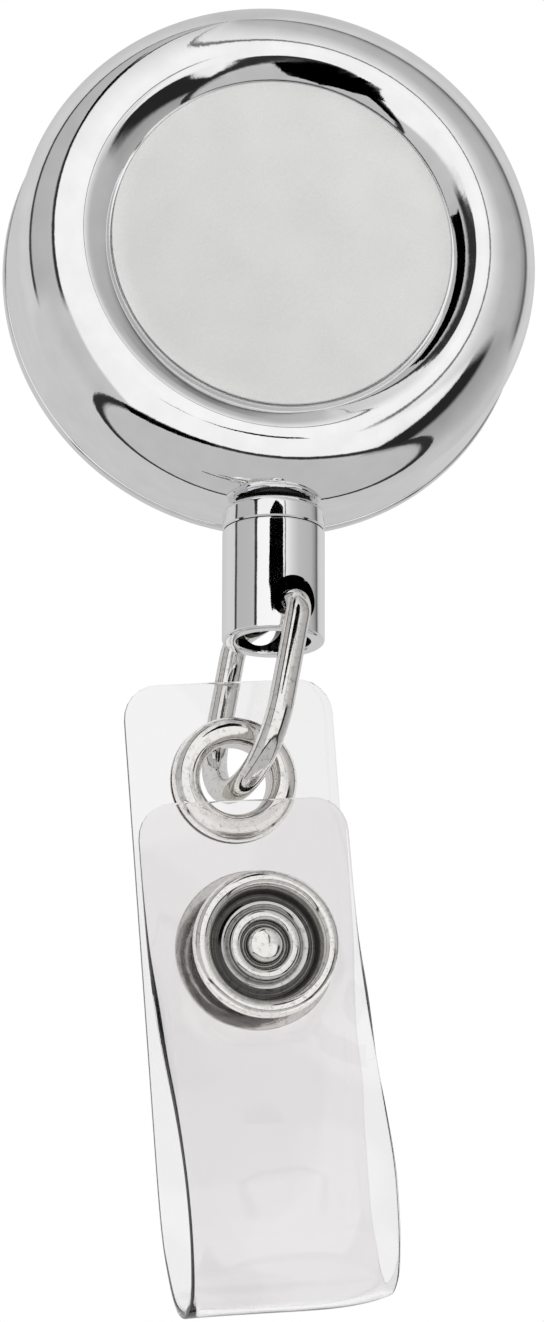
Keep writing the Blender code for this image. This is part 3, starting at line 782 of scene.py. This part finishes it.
class REEL_OT_ferrule(bpy.types.Operator):
    """Ferrule: its cap, and the tube below it with the cross hole for the link ring"""

    bl_idname = "badge_reel.ferrule"
    bl_label = "Ferrule"

    def execute(self, context):
        outer = size("ferrule_r")
        bore = size("ferrule_bore")
        seam = -17.55
        spigot = bore - GAP
        section = [(0.55, -16.1)]
        section += arc((outer - 0.45, -16.55), 0.45, 90.0, 0.0, 10)
        section += [(outer, seam + 0.13), (outer - 0.07, seam + 0.03), (spigot, seam + 0.03),
                    (spigot, -18.45), (0.55, -18.45)]
        cap = turn("ferrule_top", section, at(0.0, CORD_Y), ROUND_STEPS)
        settle(cap, "ferrule", "chrome", chrome(), "ferrule_cap")
        bottom = -24.6
        section = [(bore, seam - 0.03), (outer - 0.07, seam - 0.03), (outer, seam - 0.13), (outer, -20.0)]
        section += arc((outer - 0.22, bottom + 0.22), 0.22, 0.0, -90.0, 8)
        section += arc((bore + 0.15, bottom + 0.15), 0.15, 270.0, 180.0, 6)
        body = turn("ferrule_body", section, at(0.0, CORD_Y), ROUND_STEPS)
        along = (math.sin(CROSS_TURN), -math.cos(CROSS_TURN), 0.0)
        drill(body, 1.45, 9.0, (0.0, CORD_Y, -22.65), along)
        # The tube's bore and cross hole carry painted shade.
        settle(body, "ferrule", "chrome", chrome_painted_shade_in_bore(outer, bottom), "ferrule_tube")
        return {"FINISHED"}


class REEL_OT_ring(bpy.types.Operator):
    """Link ring: a straight bar in the cross hole, rounded corners, straight sides and a round end"""

    bl_idname = "badge_reel.ring"
    bl_label = "Link ring"

    def execute(self, context):
        along = Vector((math.sin(CROSS_TURN), -math.cos(CROSS_TURN), 0.0))
        side = Vector((math.cos(CROSS_TURN), math.sin(CROSS_TURN), 0.0))
        down = Vector((0.0, 0.0, -math.cos(RING_SWING))) - side * math.sin(RING_SWING)
        half, corner, length = 4.6, 1.4, 11.3
        slit = corner + 2.0
        slit_w = 0.15
        turn_x = half - corner
        end = length - half
        outline = [(-half, slit), (-half, (slit + corner) / 2.0)]
        outline += arc((-turn_x, corner), corner, 180.0, 270.0, 14)
        outline += [(-1.6, 0.0), (0.0, 0.0), (1.6, 0.0)]
        outline += arc((turn_x, corner), corner, 270.0, 360.0, 14)
        outline += [(half, (corner + end) / 2.0)]
        outline += arc((0.0, end), half, 0.0, 180.0, 56)
        outline += [(-half, (slit + slit_w + end) / 2.0), (-half, slit + slit_w)]
        bar = Vector((-0.3, CORD_Y, -22.95))
        wire = [tuple(bar + along * x + down * z) for x, z in outline]
        ring = tube("link_ring_wire", wire, size("wire_d"), 8)
        settle(ring, "ring", "chrome", barrel_nickel(), "link_ring")
        return {"FINISHED"}


# ---------------------------------------------------------------- strap

STRAP_STATIONS = (
    # left edge's y and z, centre's y and z, right edge's y and z, in the strap's frame
    (0.0, 3.9, 0.0, 3.9, 0.0, 3.9),
    (0.0, -3.0, 0.0, -3.0, 0.0, -3.0),
    (0.0, -12.0, 0.0, -12.0, 0.0, -12.0),
    (0.0, -20.0, 0.0, -20.0, 0.0, -20.0),
    (-0.03, -24.0, -0.03, -24.0, -0.03, -24.0),
    (-0.3, -26.8, -0.3, -26.8, -0.3, -26.8),
    (-1.02, -28.75, -1.02, -28.7, -1.02, -28.6),
    (-3.0, -31.35, -2.6, -31.0, -2.1, -30.6),
    (-5.9, -32.2, -5.2, -32.1, -3.9, -31.35),
    (-8.5, -31.2, -7.7, -31.1, -5.9, -30.7),
    (-9.45, -29.0, -8.75, -29.2, -7.1, -29.2),
    (-9.55, -26.4, -9.0, -26.9, -7.65, -27.3),
    (-8.95, -23.6, -8.55, -24.0, -7.7, -24.4),
    (-7.5, -20.4, -6.85, -20.5, -6.3, -20.8),
    (-5.4, -17.2, -4.3, -17.3, -5.0, -17.4),
    (-3.9, -14.2, -2.25, -14.3, -3.9, -13.9),
    (-2.5, -10.5, -2.0, -10.4, -2.7, -10.2),
    (-2.05, -7.0, -2.0, -7.0, -2.25, -7.0),
    (-1.95, -3.6, -2.0, -3.6, -2.0, -3.6),
)


class REEL_OT_strap(bpy.types.Operator):
    """Clear vinyl strap: one strip, from the grommet's end round its loop and up to the snap"""

    bl_idname = "badge_reel.strap"
    bl_label = "Vinyl strap"

    def execute(self, context):
        corner = 2.1
        rear_end, front_end = 6.0, -1.5
        fall = [corner * (1.0 - math.cos(math.radians(step * 15.0))) for step in range(6)]
        rows = [(0.0, rear_end - drop) * 3 for drop in fall]
        rows += through(STRAP_STATIONS, 6)
        rows += [(FRONT_LEAF_Y, front_end - drop) * 3 for drop in reversed(fall)]
        centre = [(row[2], row[3]) for row in rows]
        halves = ends_rounded(centre, size("strap_w") / 2.0, corner, corner)
        rails = []
        for index in range(17):
            share = -1.0 + index / 8.0
            # The strip bends mostly near its edges, so the middle keeps to the centre's line.
            curl = abs(share) ** 3
            rail = []
            for half, row in zip(halves, rows):
                edge = row[0:2] if share < 0.0 else row[4:6]
                y = row[2] + (edge[0] - row[2]) * curl
                z = row[3] + (edge[1] - row[3]) * curl
                rail.append((share * half, y, z))
            rails.append(rail)
        strap = sheet("vinyl_strap", rails)
        apply(strap, "SOLIDIFY", thickness=size("strap_t") * MM, offset=0.0, use_even_offset=True)
        apply(strap, "BEVEL", width=0.07 * MM, segments=3, limit_method="ANGLE",
              angle_limit=math.radians(50.0))
        drill(strap, 2.6, 3.0, (0.0, 0.0, 0.0), (0, 1, 0))
        drill(strap, 1.0, 1.4, (SNAP[0], 0.0, SNAP[1]), (0, 1, 0))
        drill(strap, 1.3, 1.4, (SNAP[0], FRONT_LEAF_Y, SNAP[1]), (0, 1, 0))
        hung = strap_place()
        place(strap, hung)
        smooth(strap, 40.0)
        settle(strap, None, "clear_vinyl", clear_vinyl(), "strap_back", "strap_front")
        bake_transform(strap)
        return {"FINISHED"}


class REEL_OT_grommet(bpy.types.Operator):
    """Grommet: its rounded front flange and barrel, and the rear half it is rolled over"""

    bl_idname = "badge_reel.grommet"
    bl_label = "Grommet"

    def execute(self, context):
        face = size("strap_t") / 2.0 + GAP
        outer = size("grommet_r")
        hole, barrel = 2.15, 2.5
        crest = face + 0.98
        rolled = -(face + 0.62)
        section = [(hole, face + 0.2)]
        top = (2.95, crest)
        section += bezier((hole, face + 0.35), (hole + 0.05, face + 0.8), (2.6, crest), top, 12)
        section += bezier(top, (3.4, crest), (outer, face + 0.6), (outer, face + 0.1), 14)[1:]
        section += [(outer - 0.1, face), (barrel, face), (barrel, rolled)]
        section += arc((2.72, rolled - 0.1), 0.2, 60.0, -90.0, 8)
        section += [(hole + 0.2, rolled - 0.3), (hole, rolled)]
        eyelet = turn("grommet_front", section, strap_place() @ FACING)
        settle(eyelet, "strap", "chrome", barrel_nickel(), "grommet_eyelet")
        inner = barrel + GAP
        section = [(inner, -face), (outer, -face), (outer, -face - 0.12)]
        section += bezier((outer - 0.02, -face - 0.25), (3.6, -face - 0.5), (3.2, -face - 0.55),
                          (inner, -face - 0.55), 8)
        washer = turn("grommet_rear", section, strap_place() @ FACING)
        settle(washer, "strap", "chrome", barrel_nickel(), "grommet_washer")
        return {"FINISHED"}


class REEL_OT_snap(bpy.types.Operator):
    """Snap: the rolled cap with its button, the socket and stud inside, and the rear cap"""

    bl_idname = "badge_reel.snap"
    bl_label = "Snap"

    def execute(self, context):
        wall = size("strap_t") / 2.0 + GAP
        outer = size("snap_r")
        top = 1.7
        side = top - 0.75
        section = [(0.0, 1.1), (0.45, 1.08)]
        section += bezier((0.8, 1.02), (1.0, 0.95), (1.14, 0.75), (1.18, 0.35), 8)
        section += bezier((1.2, 0.28), (1.24, 0.24), (1.3, 0.24), (1.36, 0.3), 4)
        section += bezier((1.4, 0.5), (1.48, 0.85), (1.62, 0.95), (1.8, 0.95), 8)
        section += bezier((1.8, 0.95), (2.02, 0.95), (2.18, 0.8), (2.25, 0.55), 8)[1:]
        section += bezier((2.3, 0.5), (2.42, 0.56), (2.5, 0.6), (2.62, 0.6), 5)
        section += bezier((2.8, 0.4), (2.88, 0.2), (2.96, 0.2), (3.06, 0.36), 6)
        section += bezier((3.2, 0.7), (3.4, 1.3), (3.58, top), (3.9, top), 14)
        section += bezier((3.9, top), (4.2, top), (outer, top - 0.3), (outer, side), 12)[1:]
        section += bezier((outer, side), (outer, 0.55), (4.1, 0.45), (3.85, 0.36), 8)[1:]
        section += [(3.7, 0.2), (3.7, 0.0), (1.2, 0.0), (1.2, -0.5), (0.0, -0.5)]
        front = strap_place(SNAP[0], FRONT_LEAF_Y - wall, SNAP[1]) @ FACING
        cap = turn("snap_front_cap", section, front, ROUND_STEPS)
        # The cap's grooves carry painted shade.
        settle(cap, "strap_flap", "chrome", nickel_with_painted_groove_shade(front), "snap_cap")

        section = [(1.9, 0.0), (3.2, 0.0), (3.3, -0.1), (3.3, -0.45)]
        section += bezier((3.3, -0.45), (3.2, -0.75), (2.9, -0.75), (2.6, -0.75), 6)[1:]
        section += [(1.8, -0.75), (1.65, -0.62), (1.9, -0.4)]
        behind = strap_place(SNAP[0], FRONT_LEAF_Y + wall, SNAP[1]) @ FACING
        socket = turn("snap_socket_ring", section, behind)
        settle(socket, "strap_flap", "chrome", barrel_nickel(), "snap_socket")

        section = [(0.0, 1.2), (0.9, 1.2)]
        section += bezier((0.9, 1.2), (1.25, 1.2), (1.5, 1.0), (1.5, 0.75), 8)[1:]
        section += [(1.36, 0.4), (1.5, 0.32), (3.5, 0.3), (3.6, 0.2), (3.6, 0.0), (0.0, 0.0)]
        stud = turn("snap_stud_disc", section, strap_place(SNAP[0], -wall, SNAP[1]) @ FACING)
        settle(stud, "strap", "chrome", barrel_nickel(), "snap_stud")

        section = [(0.0, 0.45), (0.9, 0.45), (0.9, 0.0), (4.85, 0.0), (4.9, -0.05), (4.9, -0.2)]
        section += bezier((4.9, -0.2), (4.75, -0.5), (3.2, -0.6), (0.0, -0.6), 14)[1:]
        rear = turn("snap_rear_cap", section, strap_place(SNAP[0], wall, SNAP[1]) @ FACING, ROUND_STEPS)
        settle(rear, "strap", "chrome", barrel_nickel(), "snap_post")
        return {"FINISHED"}


# ---------------------------------------------------------------- inner parts that keep their shape

class REEL_OT_inner_parts(bpy.types.Operator):
    """Finishes of the spool, its cover, the mainspring, the post, the winding and the knot"""

    bl_idname = "badge_reel.inner_parts"
    bl_label = "Inner parts"

    def execute(self, context):
        acetal = moulded("moulded_acetal", tuple(context.scene.reel_colours.spool), 0.3, 0.45, 1.48)
        finishes = {
            "spool": acetal,
            "spring_cover": acetal,
            "mainspring": spring_steel(),
            "centre_post": spring_steel(),
            "cord_knot": spring_steel(),
            "cord_winding": braided_nylon(),
        }
        for name, finish in finishes.items():
            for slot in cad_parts[name].material_slots:
                slot.material = finish
        return {"FINISHED"}


# ---------------------------------------------------------------- stage

# Greys of the walls by azimuth, above and below the case's height, and of everything by elevation.
# Angles are in degrees as seen from the reel, with 0 straight ahead of its face.
HIGH_WALLS = (
    (-180.0, 0.58), (-125.0, 0.68), (-106.0, 0.66), (-105.0, 0.05), (-100.0, 0.05), (-98.0, 0.48),
    (-60.0, 0.5), (-53.0, 0.52), (-51.0, 0.03), (-46.5, 0.03), (-45.0, 0.97), (0.0, 1.0), (15.6, 0.97),
    (16.4, 0.15), (18.2, 0.15), (19.0, 0.88), (24.0, 0.8), (35.0, 0.66), (50.0, 0.52), (85.0, 0.46),
    (98.0, 0.3), (104.0, 0.1), (108.0, 0.3), (112.0, 0.62), (130.0, 0.68), (180.0, 0.58),
)
LOW_WALLS = (
    (-180.0, 0.6), (-100.0, 0.62), (-70.0, 0.56), (-46.0, 0.6), (-42.0, 0.97), (30.0, 0.97), (39.0, 0.9),
    (40.5, 0.02), (56.0, 0.02), (62.0, 0.35), (95.0, 0.45), (120.0, 0.58), (180.0, 0.6),
)
TABLE_TO_ROOF = (
    (-90.0, 0.56), (-38.5, 0.56), (-36.5, 0.03), (-33.0, 0.03), (-31.5, 1.0), (30.0, 1.0), (55.0, 0.85),
    (75.0, 0.68), (90.0, 0.6),
)
TABLE_GREY = 0.54
# The bright wall's right edge leans: above this elevation it moves by this share of the rise.
LEAN_FROM = math.radians(22.0)
LEAN_SHARE = 0.75
# Black cards that only reflections see. The side flag is edge on to the case's left side, so that only
# the bezel's right side sees its face. The shelf flag is level and above the case's lower edge, so that
# only the bezel's top sees it.
SIDE_FLAG = [(-22.0, -16.5, 6.0), (-82.0, -72.4, 16.0), (-82.0, -72.4, 170.0), (-22.0, -16.5, 60.0)]
SHELF_Z = -12.0
SHELF_FLAG = [(7.2, -39.0, SHELF_Z), (3.0, -20.9, SHELF_Z), (-1.0, -18.5, SHELF_Z),
              (-5.0, -22.4, SHELF_Z), (-12.1, -41.0, SHELF_Z), (-10.0, -47.0, SHELF_Z)]
# The low card, seen from the reel: its azimuth, elevation, width and height in degrees.
LOW_CARD = (-32.0, -37.5, 34.0, 6.0)
CARD_DISTANCE = 0.6
FLOOR_SIZE = 6.0
FLOOR_Z = -0.75
# The camera's direction and roll in degrees, its distance in metres and the point it looks at.
CAMERA_AZIMUTH = -8.881
CAMERA_ELEVATION = -17.67
CAMERA_ROLL = 0.147
CAMERA_DISTANCE = 0.45
CAMERA_TARGET = (-0.122, -5.5, -25.835)
CAMERA_LENS = 203.8


def heading(azimuth, elevation):
    """The direction with this azimuth and elevation in degrees. The case's face looks towards 0, 0."""
    a, e = math.radians(azimuth), math.radians(elevation)
    return Vector((math.sin(a) * math.cos(e), -math.cos(a) * math.cos(e), math.sin(e)))


class REEL_OT_stage(bpy.types.Operator):
    """Pale floor, soft white surround, dark cards that only reflections see, and the camera"""

    bl_idname = "badge_reel.stage"
    bl_label = "Stage"

    def execute(self, context):
        self.surround(context)
        self.floor(context)
        self.card("low_left_card", *LOW_CARD)
        self.flag("side_flag", SIDE_FLAG)
        self.flag("shelf_flag", SHELF_FLAG)
        self.camera(context)
        return {"FINISHED"}

    def surround(self, context):
        """A studio of grey walls, ceiling and table for reflections, and plain white behind the reel."""
        world = bpy.data.worlds.new("white_surround")
        context.scene.world = world
        world.use_nodes = True
        tree = world.node_tree
        background = tree.nodes["Background"]
        direction = add_node(tree, "ShaderNodeTexCoord").outputs["Generated"]
        parts = add_node(tree, "ShaderNodeSeparateXYZ", {0: direction}).outputs
        forward = sum_up(tree, "MULTIPLY", parts["Y"], -1.0)
        azimuth = sum_up(tree, "ARCTAN2", parts["X"], forward)
        elevation = sum_up(tree, "ARCSINE", parts["Z"], 0.0)
        lean = sum_up(tree, "MAXIMUM", sum_up(tree, "SUBTRACT", elevation, LEAN_FROM), 0.0)
        lean = sum_up(tree, "MULTIPLY", lean, span(tree, azimuth, -45.0, -5.0))
        leant = sum_up(tree, "MULTIPLY_ADD", lean, LEAN_SHARE, azimuth)
        high = grey_ramp(tree, leant, 360.0, HIGH_WALLS)
        low = grey_ramp(tree, azimuth, 360.0, LOW_WALLS)
        walls = blend_greys(tree, span(tree, elevation, -2.0, 6.0), low, high)
        walls = blend_greys(tree, span(tree, elevation, -34.0, -42.0), walls, TABLE_GREY)
        roof = grey_ramp(tree, elevation, 180.0, TABLE_TO_ROOF)
        level = sum_up(tree, "MINIMUM", walls, roof)
        rays = add_node(tree, "ShaderNodeLightPath").outputs
        through_ray = sum_up(tree, "MAXIMUM", rays["Is Camera Ray"], rays["Is Transmission Ray"])
        level = blend_greys(tree, through_ray, level, 1.0)
        tree.links.new(level, background.inputs["Color"])
        context.scene.view_settings.view_transform = "Standard"

    def floor(self, context):
        """A matt pale floor, lit so evenly that it meets the white surround without a line."""
        bpy.ops.object.select_all(action="DESELECT")
        bpy.ops.mesh.primitive_plane_add(size=FLOOR_SIZE, location=(0.0, 0.0, FLOOR_Z))
        floor = bpy.context.object
        floor.name = "studio_floor"
        made, tree, shader, where = start_material("matt_pale_floor", tuple(context.scene.reel_colours.floor),
                                                   Roughness=0.9, IOR=1.45)
        shader.inputs["Emission Color"].default_value = (1.0, 1.0, 1.0, 1.0)
        shader.inputs["Emission Strength"].default_value = 0.6
        tree.links.new(bump(tree, noise(tree, where, 2.0), 0.02), shader.inputs["Normal"])
        floor.data.materials.append(made)
        floor.visible_glossy = False

    def card(self, name, azimuth, elevation, width, height):
        """A black card that faces the reel, with its place and size in degrees as seen from it."""
        away = heading(azimuth, elevation)
        facing = (-away).to_track_quat("Z", "Y").to_matrix().to_4x4()
        bpy.ops.object.select_all(action="DESELECT")
        bpy.ops.mesh.primitive_plane_add(size=1.0)
        card = bpy.context.object
        card.name = name
        across = 2.0 * CARD_DISTANCE * math.tan(math.radians(width / 2.0))
        tall = 2.0 * CARD_DISTANCE * math.tan(math.radians(height / 2.0))
        centre = mm((0.0, -7.0, 0.0)) + away * CARD_DISTANCE
        place(card, Matrix.Translation(centre) @ facing @ Matrix.Diagonal((across, tall, 1.0, 1.0)))
        self.felt(card)

    def flag(self, name, corners):
        """A black card with the given corners, in millimetres."""
        flag = draw(name, corners)
        bpy.ops.object.mode_set(mode="EDIT")
        bpy.ops.mesh.select_all(action="SELECT")
        bpy.ops.mesh.edge_face_add()
        bpy.ops.object.mode_set(mode="OBJECT")
        self.felt(flag)

    def felt(self, card):
        """Covers a card in black felt that only reflections see."""
        cover = bpy.data.materials.new(card.name + "_felt")
        cover.use_nodes = True
        tree = cover.node_tree
        tree.nodes.remove(tree.nodes["Principled BSDF"])
        glow = add_node(tree, "ShaderNodeEmission", {"Color": (0.0, 0.0, 0.0, 1.0), "Strength": 1.0})
        tree.links.new(glow.outputs[0], tree.nodes["Material Output"].inputs["Surface"])
        card.data.materials.append(cover)
        card.visible_camera = False
        card.visible_diffuse = False
        card.visible_shadow = False
        card.visible_transmission = False

    def camera(self, context):
        """The camera, from its direction, distance, roll and target."""
        roll = math.radians(CAMERA_ROLL)
        back = heading(CAMERA_AZIMUTH, CAMERA_ELEVATION)
        level = Vector((0.0, 0.0, 1.0)).cross(back).normalized()
        rise = back.cross(level)
        right = level * math.cos(roll) + rise * math.sin(roll)
        up = rise * math.cos(roll) - level * math.sin(roll)
        bpy.ops.object.camera_add(location=mm(CAMERA_TARGET) + back * CAMERA_DISTANCE)
        camera = bpy.context.object
        camera.name = "camera"
        camera.rotation_euler = Matrix((right, up, back)).transposed().to_euler()
        camera.data.lens = CAMERA_LENS
        camera.data.sensor_width = 36.0
        camera.data.clip_start = 0.02
        camera.data.clip_end = 20.0
        context.scene.camera = camera


# ---------------------------------------------------------------- panel and registration

STEPS = (REEL_OT_stage, REEL_OT_front_cover, REEL_OT_disc, REEL_OT_rear_cover, REEL_OT_bush, REEL_OT_clip,
         REEL_OT_cord, REEL_OT_ferrule, REEL_OT_ring, REEL_OT_strap, REEL_OT_grommet, REEL_OT_snap,
         REEL_OT_inner_parts)


class REEL_PT_panel(bpy.types.Panel):
    """Badge reel's sizes, colours and building steps"""

    bl_idname = "REEL_PT_panel"
    bl_label = "Badge Reel"
    bl_space_type = "VIEW_3D"
    bl_region_type = "UI"
    bl_category = "Badge Reel"

    def draw(self, context):
        layout = self.layout
        for group in (context.scene.reel_sizes, context.scene.reel_colours):
            box = layout.box()
            for name in group.__annotations__:
                box.prop(group, name)
        for step in STEPS:
            layout.operator(step.bl_idname)


CLASSES = (ReelSizes, ReelColours, *STEPS, REEL_PT_panel)


def register():
    for each in CLASSES:
        bpy.utils.register_class(each)
    bpy.types.Scene.reel_sizes = PointerProperty(type=ReelSizes)
    bpy.types.Scene.reel_colours = PointerProperty(type=ReelColours)


def unregister():
    del bpy.types.Scene.reel_colours
    del bpy.types.Scene.reel_sizes
    for each in reversed(CLASSES):
        bpy.utils.unregister_class(each)


def main():
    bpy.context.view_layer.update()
    register()
    for step in STEPS:
        group, name = step.bl_idname.split(".")
        result = getattr(getattr(bpy.ops, group), name)()
        if result != {"FINISHED"}:
            raise RuntimeError(step.bl_label + " was not finished")


if __name__ == "__main__":
    main()
